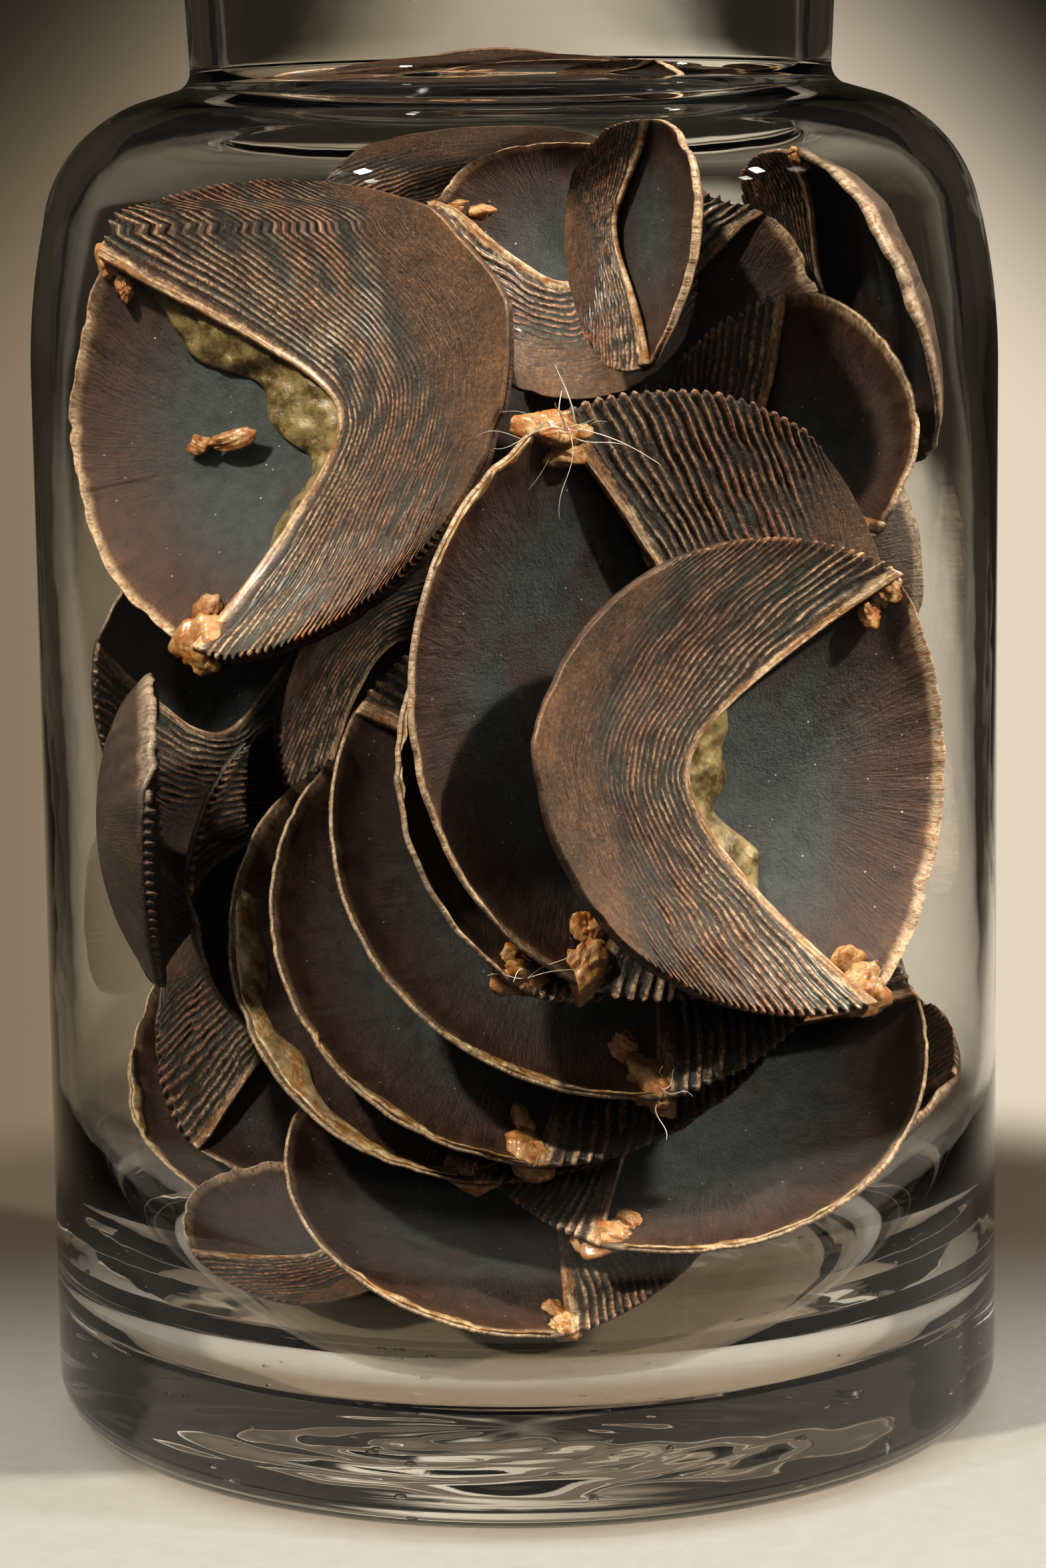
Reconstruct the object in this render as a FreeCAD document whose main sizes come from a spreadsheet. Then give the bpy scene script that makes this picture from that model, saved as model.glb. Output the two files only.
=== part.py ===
import FreeCAD, Part
import math
import os
import Sketcher

# Specimen jar: a wide-mouthed glass display jar with a loose glass lid and a soft sealing
# ring, filled with dried horn scales. Millimetres, +Z up, origin at the middle of the foot.

doc = FreeCAD.newDocument("specimen_jar")
sheet = doc.addObject("Spreadsheet::Sheet", "Sizes")
row = 1


def cell(alias, value):
    """One named size on the sheet."""
    global row
    sheet.set("A%d" % row, alias)
    sheet.set("B%d" % row, "%.4f" % value)
    sheet.setAlias("B%d" % row, alias)
    row += 1
    return value


def turned_body(name, corners):
    """A body turned about Z from a closed half section, each corner (word, out, up) on the sheet."""
    body = doc.addObject("PartDesign::Body", name)
    body.Label = name
    profile = body.newObject("Sketcher::SketchObject", name + "_profile")
    for item in body.Origin.OriginFeatures:
        if item.Role == "XZ_Plane":
            profile.AttachmentSupport = [(item, "")]
    profile.MapMode = "FlatFace"
    count = len(corners)
    for i in range(count):
        a = FreeCAD.Vector(corners[i][1], corners[i][2], 0)
        b = FreeCAD.Vector(corners[(i + 1) % count][1], corners[(i + 1) % count][2], 0)
        profile.addGeometry(Part.LineSegment(a, b), False)
    for i in range(count):
        profile.addConstraint(Sketcher.Constraint("Coincident", i, 2, (i + 1) % count, 1))
    for i in range(count):
        word, out, up = corners[i]
        if out == 0:
            profile.addConstraint(Sketcher.Constraint("PointOnObject", i, 1, -2))
        else:
            cell(word + "_out", out)
            number = profile.addConstraint(Sketcher.Constraint("DistanceX", -1, 1, i, 1, out))
            profile.setExpression("Constraints[%d]" % number, "Sizes.%s_out" % word)
        if up == 0:
            profile.addConstraint(Sketcher.Constraint("PointOnObject", i, 1, -1))
        else:
            cell(word + "_up", up)
            number = profile.addConstraint(Sketcher.Constraint("DistanceY", -1, 1, i, 1, up))
            profile.setExpression("Constraints[%d]" % number, "Sizes.%s_up" % word)
    turned = body.newObject("PartDesign::Revolution", name + "_turned")
    turned.Profile = profile
    turned.ReferenceAxis = (profile, ["V_Axis"])
    turned.Angle = 360
    body.Tip = turned
    doc.recompute()
    return body


def round_edge(body, word, radius, out, up):
    """Round the circular edge that runs at the distance out from the axis and the height up."""
    base = body.Tip
    names = []
    for i, edge in enumerate(base.Shape.Edges):
        if isinstance(edge.Curve, Part.Circle) and abs(edge.Curve.Radius - out) < 0.02:
            if abs(edge.Curve.Center.z - up) < 0.02:
                names.append("Edge%d" % (i + 1))
    if not names:
        raise ValueError("no edge for " + word)
    cell(word, radius)
    rounded = body.newObject("PartDesign::Fillet", word)
    rounded.Base = (base, names)
    rounded.Radius = radius
    rounded.setExpression("Radius", "Sizes." + word)
    body.Tip = rounded
    doc.recompute()
    if rounded.Shape.isNull() or not rounded.Shape.isValid():
        raise ValueError("rounding failed: " + word)


# Jar body: heavy moulded base with a shallow hollow under it, straight wall, round shoulder,
# short neck that opens slightly upwards, flat-topped lip.
jar = turned_body("jar_body", [
    ("hollow", 0, 2.0),
    ("foot_ring", 54.0, 0),
    ("heel", 70.0, 0),
    ("shoulder_start", 70.0, 164.65),
    ("shoulder_crest", 64.47, 189.46),
    ("neck_root", 46.0, 194.8),
    ("neck_top", 47.4, 224.0),
    ("lip_under", 52.0, 225.6),
    ("lip_outer", 52.0, 230.0),
    ("mouth", 43.2, 230.0),
    ("bore_root", 42.0, 191.2),
    ("cavity_crest", 60.65, 185.86),
    ("cavity_shoulder", 67.0, 157.4),
    ("cavity_heel", 67.0, 35.9),
    ("floor_edge", 54.9, 14.0),
    ("floor_middle", 0, 13.2),
])
round_edge(jar, "heel_round", 8.0, 70.0, 0.0)
round_edge(jar, "shoulder_sweep", 100.0, 70.0, 164.65)
round_edge(jar, "shoulder_turn", 21.0, 64.47, 189.46)
round_edge(jar, "neck_fillet", 3.0, 46.0, 194.8)
round_edge(jar, "lip_under_round", 1.2, 52.0, 225.6)
round_edge(jar, "lip_outer_round", 1.6, 52.0, 230.0)
round_edge(jar, "mouth_round", 1.2, 43.2, 230.0)
round_edge(jar, "bore_round", 2.0, 42.0, 191.2)
round_edge(jar, "cavity_turn", 16.0, 60.65, 185.86)
round_edge(jar, "cavity_sweep", 160.0, 67.0, 157.4)
round_edge(jar, "cavity_bowl", 64.0, 67.0, 35.9)
round_edge(jar, "floor_round", 11.0, 54.9, 14.0)

# Lid: one piece of glass. A plug with a groove for the ring, a domed plate and a knob.
lid = turned_body("lid", [
    ("plug_middle", 0, 216.0),
    ("plug_bottom", 39.5, 216.0),
    ("plug_side", 40.5, 217.2),
    ("groove_low", 40.5, 219.5),
    ("groove_low_inner", 38.0, 219.5),
    ("groove_high_inner", 38.0, 225.5),
    ("groove_high", 40.5, 225.5),
    ("plug_top", 40.5, 230.05),
    ("plate_under", 53.0, 230.05),
    ("plate_edge", 53.0, 234.6),
    ("plate_top", 14.0, 237.8),
    ("stem_low", 8.5, 239.0),
    ("stem_high", 8.5, 243.5),
    ("knob_low", 16.5, 247.0),
    ("knob_high", 16.5, 259.0),
    ("knob_top", 10.0, 265.0),
    ("knob_middle", 0, 265.0),
])
round_edge(lid, "plate_low_round", 1.5, 53.0, 230.05)
round_edge(lid, "plate_high_round", 2.4, 53.0, 234.6)
round_edge(lid, "plate_stem_round", 4.0, 14.0, 237.8)
round_edge(lid, "stem_round", 2.2, 8.5, 243.5)
round_edge(lid, "knob_low_round", 5.0, 16.5, 247.0)
round_edge(lid, "knob_high_round", 5.5, 16.5, 259.0)
round_edge(lid, "knob_top_round", 4.0, 10.0, 265.0)

# Sealing ring: soft, in the groove of the plug, with two lobes that face the neck.
ring = turned_body("seal_ring", [
    ("ring_low_inner", 38.05, 219.6),
    ("ring_low", 41.0, 219.6),
    ("lobe_low", 42.6, 221.0),
    ("lobe_valley", 41.2, 222.5),
    ("lobe_high", 42.6, 224.0),
    ("ring_high", 41.0, 225.4),
    ("ring_high_inner", 38.05, 225.4),
])
round_edge(ring, "lobe_low_round", 0.5, 42.6, 221.0)
round_edge(ring, "lobe_high_round", 0.5, 42.6, 224.0)

# Dried horn scales. Each is a thin domed shell, open along its base like a slipper: a back wall
# (outer sphere), a ridged front flap (flatter sphere) and a mouth cut back from the two corners.
# Own axes: X from the chord between the corners to the tip, Y along the chord, Z to the domed back.
dome_place = cell("dome_place", 0.23)
dome_size = cell("dome_size", 1.0)
side_size = cell("side_size", 0.72)
side_place = cell("side_place", 0.24)
tip_size = cell("tip_size", 0.62)
cell("pocket_size", 0.40)
cell("pocket_place", 0.10)
scale_wall = cell("scale_wall", 1.3)
edge_thickness = cell("edge_thickness", 1.0)

# A ball is turned so that its seam circle lies clear of the cuts.
on_side = FreeCAD.Rotation(
    FreeCAD.Vector(0, 0, -1), FreeCAD.Vector(-1, 0, 0), FreeCAD.Vector(0, 1, 0), "ZXY")


def ball(name, size, x, z):
    item = doc.addObject("Part::Sphere", name)
    item.setExpression("Radius", size)
    item.Placement = FreeCAD.Placement(FreeCAD.Vector(0, 0, 0), on_side)
    item.setExpression("Placement.Base.x", x)
    item.setExpression("Placement.Base.z", z)
    return item


def disc(name, size, x, y="0"):
    item = doc.addObject("Part::Cylinder", name)
    item.setExpression("Radius", size)
    item.Height = 160
    item.Placement.Base.z = -110
    item.setExpression("Placement.Base.x", x)
    item.setExpression("Placement.Base.y", y)
    return item


def both(kind, name, base, tool):
    item = doc.addObject(kind, name)
    item.Base = base
    item.Tool = tool
    return item


def turn(spin, yaw, tilt):
    """Own axes to the jar's axes: tip direction, then lean of the face, then its heading."""
    face = FreeCAD.Rotation(FreeCAD.Vector(1, 0, 0), -90)
    heading = FreeCAD.Rotation(FreeCAD.Vector(0, 1, 0), -spin)
    lean_back = FreeCAD.Rotation(FreeCAD.Vector(1, 0, 0), -tilt)
    about = FreeCAD.Rotation(FreeCAD.Vector(0, 0, 1), yaw)
    return about * lean_back * heading * face


def flap_radius(chord, length, depth):
    """The flap's sphere leaves the edge thickness at the rim point farthest from the dome's middle."""
    reach = max(length - dome_place * chord, math.hypot(dome_place * chord, chord / 2))
    back = dome_size * chord
    drop = back - math.sqrt(back * back - reach * reach) + edge_thickness - depth
    return (reach * reach + drop * drop) / (2 * drop)


def horn_scale(number, laid):
    key = "%02d" % number
    chord, length, base, mouth, depth = laid.sizes
    cell("chord_" + key, chord)
    cell("length_" + key, length)
    cell("base_" + key, base)
    cell("mouth_" + key, mouth)
    cell("depth_" + key, depth)
    cell("flap_" + key, round(flap_radius(chord, length, depth), 2))
    names = {}
    for word in ("chord", "length", "base", "mouth", "depth", "flap"):
        names[word] = "Sizes.%s_%s" % (word, key)
    c = names["chord"]
    middle = "Sizes.dome_place * %s" % c
    side_r = "Sizes.side_size * %s" % c
    side_y = "sqrt(pow(%s; 2) - pow(Sizes.side_place * %s; 2)) - %s / 2" % (side_r, c, c)
    base_r = "(pow(%s / 2; 2) + pow(%s; 2)) / (2 * %s)" % (c, names["base"], names["base"])
    mouth_r = "(pow(%s / 2; 2) + pow(%s; 2)) / (2 * %s)" % (c, names["mouth"], names["mouth"])
    back_r = "Sizes.dome_size * %s" % c
    flap_z = "-%s - %s" % (names["depth"], names["flap"])
    side_a = disc("side_a_" + key, side_r, "Sizes.side_place * " + c, "0 - (%s)" % side_y)
    side_b = disc("side_b_" + key, side_r, "Sizes.side_place * " + c, side_y)
    tip = disc("tip_" + key, "Sizes.tip_size * " + c, "%s - Sizes.tip_size * %s" % (names["length"], c))
    base_disc = disc("base_disc_" + key, base_r, "%s - %s" % (base_r, names["base"]))
    dome = ball("dome_" + key, back_r, middle, "0 - " + back_r)
    hollow = ball("hollow_" + key, "%s - Sizes.scale_wall" % back_r, middle, "0 - " + back_r)
    under = ball("under_" + key, names["flap"], middle, flap_z)
    lining = ball("lining_" + key, names["flap"] + " + Sizes.scale_wall", middle, flap_z)
    opening = disc("opening_" + key, mouth_r, "%s - %s" % (names["mouth"], mouth_r))
    pocket = disc("pocket_" + key, "Sizes.pocket_size * " + c, "Sizes.pocket_place * " + c)
    sides = both("Part::Common", "sides_" + key, side_a, side_b)
    ends = both("Part::Common", "ends_" + key, tip, base_disc)
    outline = both("Part::Common", "outline_" + key, sides, ends)
    capped = both("Part::Common", "capped_" + key, outline, dome)
    shell = both("Part::Cut", "shell_" + key, capped, under)
    inside = both("Part::Common", "inside_" + key, pocket, hollow)
    room = both("Part::Cut", "room_" + key, inside, lining)
    gape = both("Part::Common", "gape_" + key, opening, hollow)
    gutted = both("Part::Cut", "gutted_" + key, shell, room)
    finished = both("Part::Cut", "scale_" + key, gutted, gape)
    finished.Label = "scale_" + key
    finished.Placement = FreeCAD.Placement(FreeCAD.Vector(*laid.place), turn(*laid.angles))
    return finished


# How the pile is settled: every scale is put down at a rough place, in steps of five millimetres
# and five degrees, and moved by the shortest whole-millimetre move to where it has air all round.
air = cell("air_between_scales", 0.5)
glass_air = cell("air_to_glass", 0.9)
pile_bottom = cell("pile_bottom", 14.9)
pile_top = cell("pile_top", 206.5)
move_limit = int(cell("move_limit", 6))
AXES = [FreeCAD.Vector(1, 0, 0), FreeCAD.Vector(0, 1, 0), FreeCAD.Vector(0, 0, 1)]
SAMPLE_RINGS = (0.2, 0.45, 0.65, 0.82, 0.94, 1.0)
SAMPLE_ANGLE = 10


def cavity_radius(z):
    """Inside radius of the jar at a height, with its rounded bottom and shoulder."""
    if z > 188.0:
        return 41.6
    if z > 176.0:
        return 46.0 + math.sqrt(17.0 ** 2 - (z - 172.3) ** 2)
    if z > 138.4:
        return math.sqrt(173.0 ** 2 - (z - 138.4) ** 2) - 106.2
    if z < 20.0:
        return 47.8 + math.sqrt(11.6 ** 2 - (25.6 - z) ** 2)
    if z < 54.0:
        return math.sqrt(70.0 ** 2 - (54.0 - z) ** 2) - 3.2
    return 66.8


class Room:
    """The room one scale takes up: outline discs and two walls in its own axes, its turn and place."""

    def __init__(self, sizes, angles):
        self.sizes = sizes
        self.angles = angles
        self.place = (0, 0, 0)
        chord, length, base, mouth, depth = sizes
        half = chord / 2
        self.middle = dome_place * chord
        self.back = dome_size * chord
        self.flap = flap_radius(chord, length, depth)
        side = side_size * chord
        side_x = side_place * chord
        side_y = math.sqrt(side ** 2 - side_x ** 2) - half
        tip = tip_size * chord
        base_r = (half ** 2 + base ** 2) / (2 * base)
        self.discs = [
            (base_r - base, 0, base_r),
            (length - tip, 0, tip),
            (side_x, -side_y, side),
            (side_x, side_y, side),
        ]
        self.mouth_r = (half ** 2 + mouth ** 2) / (2 * mouth)
        self.axes = [turn(*angles).multVec(axis) for axis in AXES]
        self.heart = self.turned(self.middle, 0, -depth / 2)
        self.points = [self.turned(*point) for point in self.samples()]

    def turned(self, x, y, z):
        a, b, c = self.axes
        return (x * a.x + y * b.x + z * c.x, x * a.y + y * b.y + z * c.y, x * a.z + y * b.z + z * c.z)

    def rim_distance(self, c, s):
        """From the dome's middle to the rim, in the direction with the cosine c and the sine s."""
        found = []
        for x, y, radius in self.discs:
            off = self.middle - x
            along = off * c - y * s
            found.append(math.sqrt(along ** 2 - off ** 2 - y ** 2 + radius ** 2) - along)
        return min(found)

    def top(self, x, y):
        return math.sqrt(self.back ** 2 - (x - self.middle) ** 2 - y ** 2) - self.back

    def bottom(self, x, y):
        mouth, depth = self.sizes[3:]
        if math.hypot(x - mouth + self.mouth_r, y) < self.mouth_r:
            return self.top(x, y) - scale_wall
        return math.sqrt(self.flap ** 2 - (x - self.middle) ** 2 - y ** 2) - self.flap - depth

    def samples(self):
        """Points all over both walls and the rim."""
        for degrees in range(0, 360, SAMPLE_ANGLE):
            c = math.cos(math.radians(degrees))
            s = math.sin(math.radians(degrees))
            rim = self.rim_distance(c, s)
            for part in SAMPLE_RINGS:
                x = self.middle + part * rim * c
                y = part * rim * s
                yield x, y, self.top(x, y)
                yield x, y, self.bottom(x, y)

    def holds(self, other):
        """True when a sample point of the other scale is inside this one or too near to it."""
        a, b, c = self.axes
        ox, oy, oz = [there - here for here, there in zip(self.place, other.place)]
        chord, depth = self.sizes[0], self.sizes[4]
        for px, py, pz in other.points:
            px, py, pz = px + ox, py + oy, pz + oz
            z = px * c.x + py * c.y + pz * c.z
            if z > air or z < -depth - chord / 4:
                continue
            x = px * a.x + py * a.y + pz * a.z
            y = px * b.x + py * b.y + pz * b.z
            if min(r - math.hypot(x - disc_x, y - disc_y) for disc_x, disc_y, r in self.discs) < -air:
                continue
            if self.bottom(x, y) - air < z < self.top(x, y) + air:
                return True
        return False

    def in_cavity(self):
        ox, oy, oz = self.place
        for px, py, pz in self.points:
            z = pz + oz
            if z < pile_bottom or z > pile_top:
                return False
            if math.hypot(px + ox, py + oy) > cavity_radius(z) - glass_air:
                return False
        return True

    def near(self, other):
        one = [p + h for p, h in zip(self.place, self.heart)]
        two = [p + h for p, h in zip(other.place, other.heart)]
        return math.dist(one, two) < 0.75 * (self.sizes[0] + other.sizes[0])

    def has_air(self, others):
        if not self.in_cavity():
            return False
        for other in others:
            if self.near(other) and (other.holds(self) or self.holds(other)):
                return False
        return True


def move_cost(move):
    """Squared length of a move; a move along Y, in the depth of the pile, counts for half its length."""
    return move[0] ** 2 + 0.25 * move[1] ** 2 + move[2] ** 2


across = range(-move_limit, move_limit + 1)
deep = range(-2 * move_limit, 2 * move_limit + 1)
MOVES = sorted([(x, y, z) for x in across for y in deep for z in across], key=move_cost)


def settle(sizes, rough_place, angles, others):
    room = Room(sizes, angles)
    for move in MOVES:
        room.place = tuple(start + step for start, step in zip(rough_place, move))
        if room.has_air(others):
            return room
    raise ValueError("no room for a scale at %s, %s, %s" % rough_place)


def usual(chord):
    """Length, base, mouth and depth of a scale of the usual proportions."""
    return (chord, 0.85 * chord, 0.30 * chord, 0.38 * chord, 0.085 * chord)


# The scales in the order in which they are laid: the number, the sizes (chord, length, base, mouth
# and depth), the rough place of the chord's middle, and spin, yaw and tilt.
FRONT = [
    (3, (78, 56, 25.5, 28, 5.5), (0, -40, 110), (0, 30, 5)),
    (1, (64, 66, 13, 28.5, 5.4), (-50, 0, 140), (20, -20, 15)),
    (2, (60, 57, 11, 27.5, 5.1), (45, -30, 95), (170, 25, 10)),
    (4, (52, 44, 15.5, 20, 3.1), (-10, -45, 95), (-5, 40, 20)),
    (5, (70, 54.5, 21, 26.5, 4.2), (-5, -25, 75), (30, 15, 30)),
    (9, (60, 51, 18, 23, 4.2), (35, -25, 40), (140, -15, 45)),
    (8, (58, 49.5, 17.5, 22, 4.1), (-15, -25, 25), (30, 15, 50)),
    (6, (68, 54.5, 20.5, 26, 4.1), (-15, -20, 65), (20, 10, 35)),
    (7, (68, 54.5, 20.5, 26, 4.1), (-25, -15, 60), (20, 5, 35)),
    (13, (50, 42.5, 18, 21, 6), (60, 0, 170), (-175, -70, -25)),
    (14, (38, 36, 16, 13, 3.2), (25, -20, 175), (-175, -55, 5)),
    (10, usual(48), (50, -5, 30), (160, -75, 55)),
    (12, (56, 47.5, 12.5, 21.5, 3.9), (45, -20, 90), (165, 5, 20)),
    (11, (52, 44, 13, 20, 3.6), (-50, 20, 40), (-5, 10, 40)),
    (15, usual(36), (5, 10, 180), (-80, 10, 10)),
    (16, usual(54), (-5, 25, 155), (90, 15, 0)),
    (17, usual(42), (35, 20, 155), (170, 5, 10)),
    (18, usual(44), (-50, 25, 115), (-85, 35, 5)),
    (19, usual(40), (-60, -20, 100), (-85, 95, 0)),
    (20, usual(36), (-50, 35, 85), (-90, 45, -15)),
    (21, usual(32), (-40, -15, 25), (-50, 10, 60)),
    (22, usual(40), (0, 5, 15), (-75, -10, 90)),
]

# The rest of the pile, behind and between them, all of the usual proportions: the chord, the rough
# place and the angles.
REST = [
    (58, (-30, 15, 155), (-160, -165, 5)),
    (54, (45, 15, 115), (25, 160, 0)),
    (58, (-15, 45, 80), (120, -175, 15)),
    (46, (40, 30, 80), (-30, 155, -20)),
    (48, (0, 40, 40), (5, -165, 10)),
    (42, (5, 45, 160), (120, 160, 40)),
    (42, (50, 0, 145), (-150, -30, 20)),
    (42, (-45, 0, 70), (60, 60, 0)),
    (42, (45, 20, 45), (30, -60, 10)),
    (46, (25, 35, 25), (0, -30, 55)),
    (46, (-30, 15, 35), (100, 15, 35)),
    (42, (25, 60, 130), (0, -40, -15)),
    (42, (-35, 35, 125), (135, -150, 30)),
    (42, (0, 40, 95), (-90, -15, 0)),
    (40, (35, 20, 90), (140, 15, -15)),
    (46, (-20, 30, 100), (120, 40, -20)),
]

rooms = {}
for number, sizes, rough_place, angles in FRONT:
    rooms[number] = settle(sizes, rough_place, angles, rooms.values())
for chord, rough_place, angles in REST:
    rooms[len(rooms) + 1] = settle(usual(chord), rough_place, angles, rooms.values())
scales = [horn_scale(number, rooms[number]) for number in sorted(rooms)]
doc.recompute()

# Write every piece to its own file.
os.makedirs("parts", exist_ok=True)
for item in doc.Objects:
    if "Invalid" in item.State or "Error" in item.State:
        raise ValueError("not built: " + item.Name)
for piece in [jar, lid, ring] + scales:
    if piece.Shape.isNull() or not piece.Shape.isValid() or len(piece.Shape.Solids) != 1:
        raise ValueError("bad shape: " + piece.Label)
    piece.Shape.exportStep("parts/%s.step" % piece.Label)
    print(piece.Label, round(piece.Shape.Volume, 1))
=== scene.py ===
import math

import bpy
import numpy as np
from mathutils import Matrix, Vector


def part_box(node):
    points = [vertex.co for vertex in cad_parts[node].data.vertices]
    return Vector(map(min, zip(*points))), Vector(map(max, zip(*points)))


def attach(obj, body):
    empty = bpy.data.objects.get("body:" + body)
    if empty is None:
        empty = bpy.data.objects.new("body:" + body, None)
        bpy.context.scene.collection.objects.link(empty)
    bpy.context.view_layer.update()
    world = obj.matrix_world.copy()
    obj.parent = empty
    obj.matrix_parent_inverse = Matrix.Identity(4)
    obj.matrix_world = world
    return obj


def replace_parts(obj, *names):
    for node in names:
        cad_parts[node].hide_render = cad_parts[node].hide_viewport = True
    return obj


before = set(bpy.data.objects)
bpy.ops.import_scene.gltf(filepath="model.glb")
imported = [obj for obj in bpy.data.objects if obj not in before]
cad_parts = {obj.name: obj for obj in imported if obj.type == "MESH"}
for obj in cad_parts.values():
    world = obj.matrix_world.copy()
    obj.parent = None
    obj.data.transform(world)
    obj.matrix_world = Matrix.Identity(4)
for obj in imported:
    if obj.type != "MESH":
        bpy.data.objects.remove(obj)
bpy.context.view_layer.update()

# A wide-mouthed glass jar with a loose glass lid, filled with dried horn scales.
# Shapes are worked out in millimetres in the jar's own frame and turned into metres at the end.

MM = 0.001


# ---- small helpers

def smooth(value, low, high):
    """0 below low, 1 above high, and a soft step between them."""
    t = np.clip((value - low) / (high - low), 0, 1)
    return t * t * (3 - 2 * t)


def waves(seed, count, spread, *places):
    """Soft random field between about -1 and 1: a sum of sine waves over the given coordinates."""
    draw = np.random.default_rng(seed)
    total = 0
    for _ in range(count):
        pitch = draw.normal(0, 1, len(places)) * spread
        shift = draw.uniform(0, 2 * math.pi)
        total = total + np.sin(sum(p * c for p, c in zip(pitch, places)) + shift)
    return total / math.sqrt(count)


def shell_volume(points, quads, tris):
    """Signed volume inside a closed shell: below zero when its faces look inwards."""
    volume = 0
    for a, b, c in ((quads[:, 0], quads[:, 1], quads[:, 2]), (quads[:, 0], quads[:, 2], quads[:, 3]),
                    (tris[:, 0], tris[:, 1], tris[:, 2])):
        volume += np.einsum("ij,ij->", points[a], np.cross(points[b], points[c]))
    return volume


class Surface:
    """Points, faces and named fields of a piece, gathered shell by shell."""

    def __init__(self):
        self.points, self.quads, self.tris, self.fields, self.count = [], [], [], {}, 0

    def add(self, points, quads=(), tris=(), inward=False, **fields):
        quads = np.asarray(quads, int).reshape(-1, 4)
        tris = np.asarray(tris, int).reshape(-1, 3)
        if (shell_volume(points, quads, tris) < 0) != inward:
            quads, tris = quads[:, ::-1], tris[:, ::-1]
        self.points.append(points)
        self.quads.append(quads + self.count)
        self.tris.append(tris + self.count)
        for name in set(fields) | set(self.fields):
            column = self.fields.setdefault(name, [np.zeros(self.count)])
            column.append(np.broadcast_to(fields.get(name, 0.0), len(points)).astype(float))
        self.count += len(points)

    def piece(self, name, material, body, slot):
        """The finished object, riding on its body."""
        quads, tris = np.concatenate(self.quads), np.concatenate(self.tris)
        corners = np.concatenate([quads.ravel(), tris.ravel()]).astype(np.int32)
        starts = np.concatenate([np.arange(len(quads)) * 4, len(quads) * 4 + np.arange(len(tris)) * 3])
        mesh = bpy.data.meshes.new(name)
        mesh.vertices.add(self.count)
        mesh.vertices.foreach_set("co", (np.concatenate(self.points) * MM).astype(np.float32).ravel())
        mesh.loops.add(len(corners))
        mesh.loops.foreach_set("vertex_index", corners)
        mesh.polygons.add(len(starts))
        mesh.polygons.foreach_set("loop_start", starts.astype(np.int32))
        mesh.polygons.foreach_set("use_smooth", np.ones(len(starts), bool))
        mesh.update(calc_edges=True)
        for field, columns in self.fields.items():
            values = mesh.attributes.new(field, "FLOAT", "POINT")
            values.data.foreach_set("value", np.concatenate(columns).astype(np.float32))
        mesh.materials.append(material)
        item = bpy.data.objects.new(name, mesh)
        bpy.context.scene.collection.objects.link(item)
        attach(item, body)
        return item


def grid_faces(rows, columns, wrap=False):
    """Quads of a grid of points numbered row by row, closed round the columns if wrap is set."""
    i, j = np.meshgrid(np.arange(rows - 1), np.arange(columns if wrap else columns - 1), indexing="ij")
    k = (j + 1) % columns
    this_row, next_row = i * columns, (i + 1) * columns
    return np.stack([this_row + j, this_row + k, next_row + k, next_row + j], -1).reshape(-1, 4)


def fan_faces(pole, first, columns):
    """Triangles from a pole to a closed row of points."""
    j = np.arange(columns)
    return np.stack([np.full(columns, pole), first + j, first + (j + 1) % columns], -1)


def pole_faces(rows, columns):
    """Triangles from the first and the last row of a grid to the two poles that follow its points."""
    count = rows * columns
    first = fan_faces(count, 0, columns)[:, ::-1]
    last = fan_faces(count + 1, count - columns, columns)
    return np.concatenate([first, last])


# ---- turned glass

def rounded(corners):
    """Half section through corners (out, up, rounding), with each rounding as a true arc."""
    points = []
    for i, (out, up, radius) in enumerate(corners):
        here = np.array([out, up], float)
        if not radius:
            points.append(here)
            continue
        back = np.array(corners[i - 1][:2]) - here
        on = np.array(corners[(i + 1) % len(corners)][:2]) - here
        back, on = back / np.linalg.norm(back), on / np.linalg.norm(on)
        half = math.acos(np.clip(back @ on, -1, 1)) / 2
        mid = (back + on) / np.linalg.norm(back + on)
        centre = here + mid * radius / math.sin(half)
        start = here + back * radius / math.tan(half) - centre
        turn = (math.pi - 2 * half) * (1 if back[1] * on[0] > back[0] * on[1] else -1)
        steps = max(6, int(abs(turn) * radius / 1.2))
        for angle in np.linspace(0, turn, steps + 1):
            c, s = math.cos(angle), math.sin(angle)
            points.append(centre + (c * start[0] - s * start[1], s * start[0] + c * start[1]))
    return np.array(points)


def filled_in(section, step):
    """The same section with points added along its straight runs, no farther apart than step."""
    made = [section[:1]]
    for a, b in zip(section[:-1], section[1:]):
        count = max(1, int(np.linalg.norm(b - a) / step))
        made.append(a + (b - a) * (np.arange(1, count + 1) / count)[:, None])
    return np.concatenate(made)


def turned(section, segments, closed=False, ripple=None):
    """Points and faces of a body turned about Z. The section runs axis to axis unless it is closed."""
    angle = np.arange(segments) * 2 * math.pi / segments
    ring = section if closed else section[1:-1]
    out, up = ring[:, :1] + 0 * angle, ring[:, 1:] + 0 * angle
    if ripple:
        shift_out, shift_up = ripple(out, up, angle[None])
        out, up = out + shift_out, up + shift_up
    points = np.stack([out * np.cos(angle), out * np.sin(angle), up], -1).reshape(-1, 3)
    rows = len(ring)
    if closed:
        here = np.arange(segments)
        following = (here + 1) % segments
        last = (rows - 1) * segments
        seam = np.stack([last + here, last + following, following, here], -1)
        return points, np.concatenate([grid_faces(rows, segments, wrap=True), seam]), []
    poles = np.array([[0, 0, section[0, 1]], [0, 0, section[-1, 1]]])
    quads = grid_faces(rows, segments, wrap=True)
    return np.concatenate([points, poles]), quads, pole_faces(rows, segments)


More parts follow.
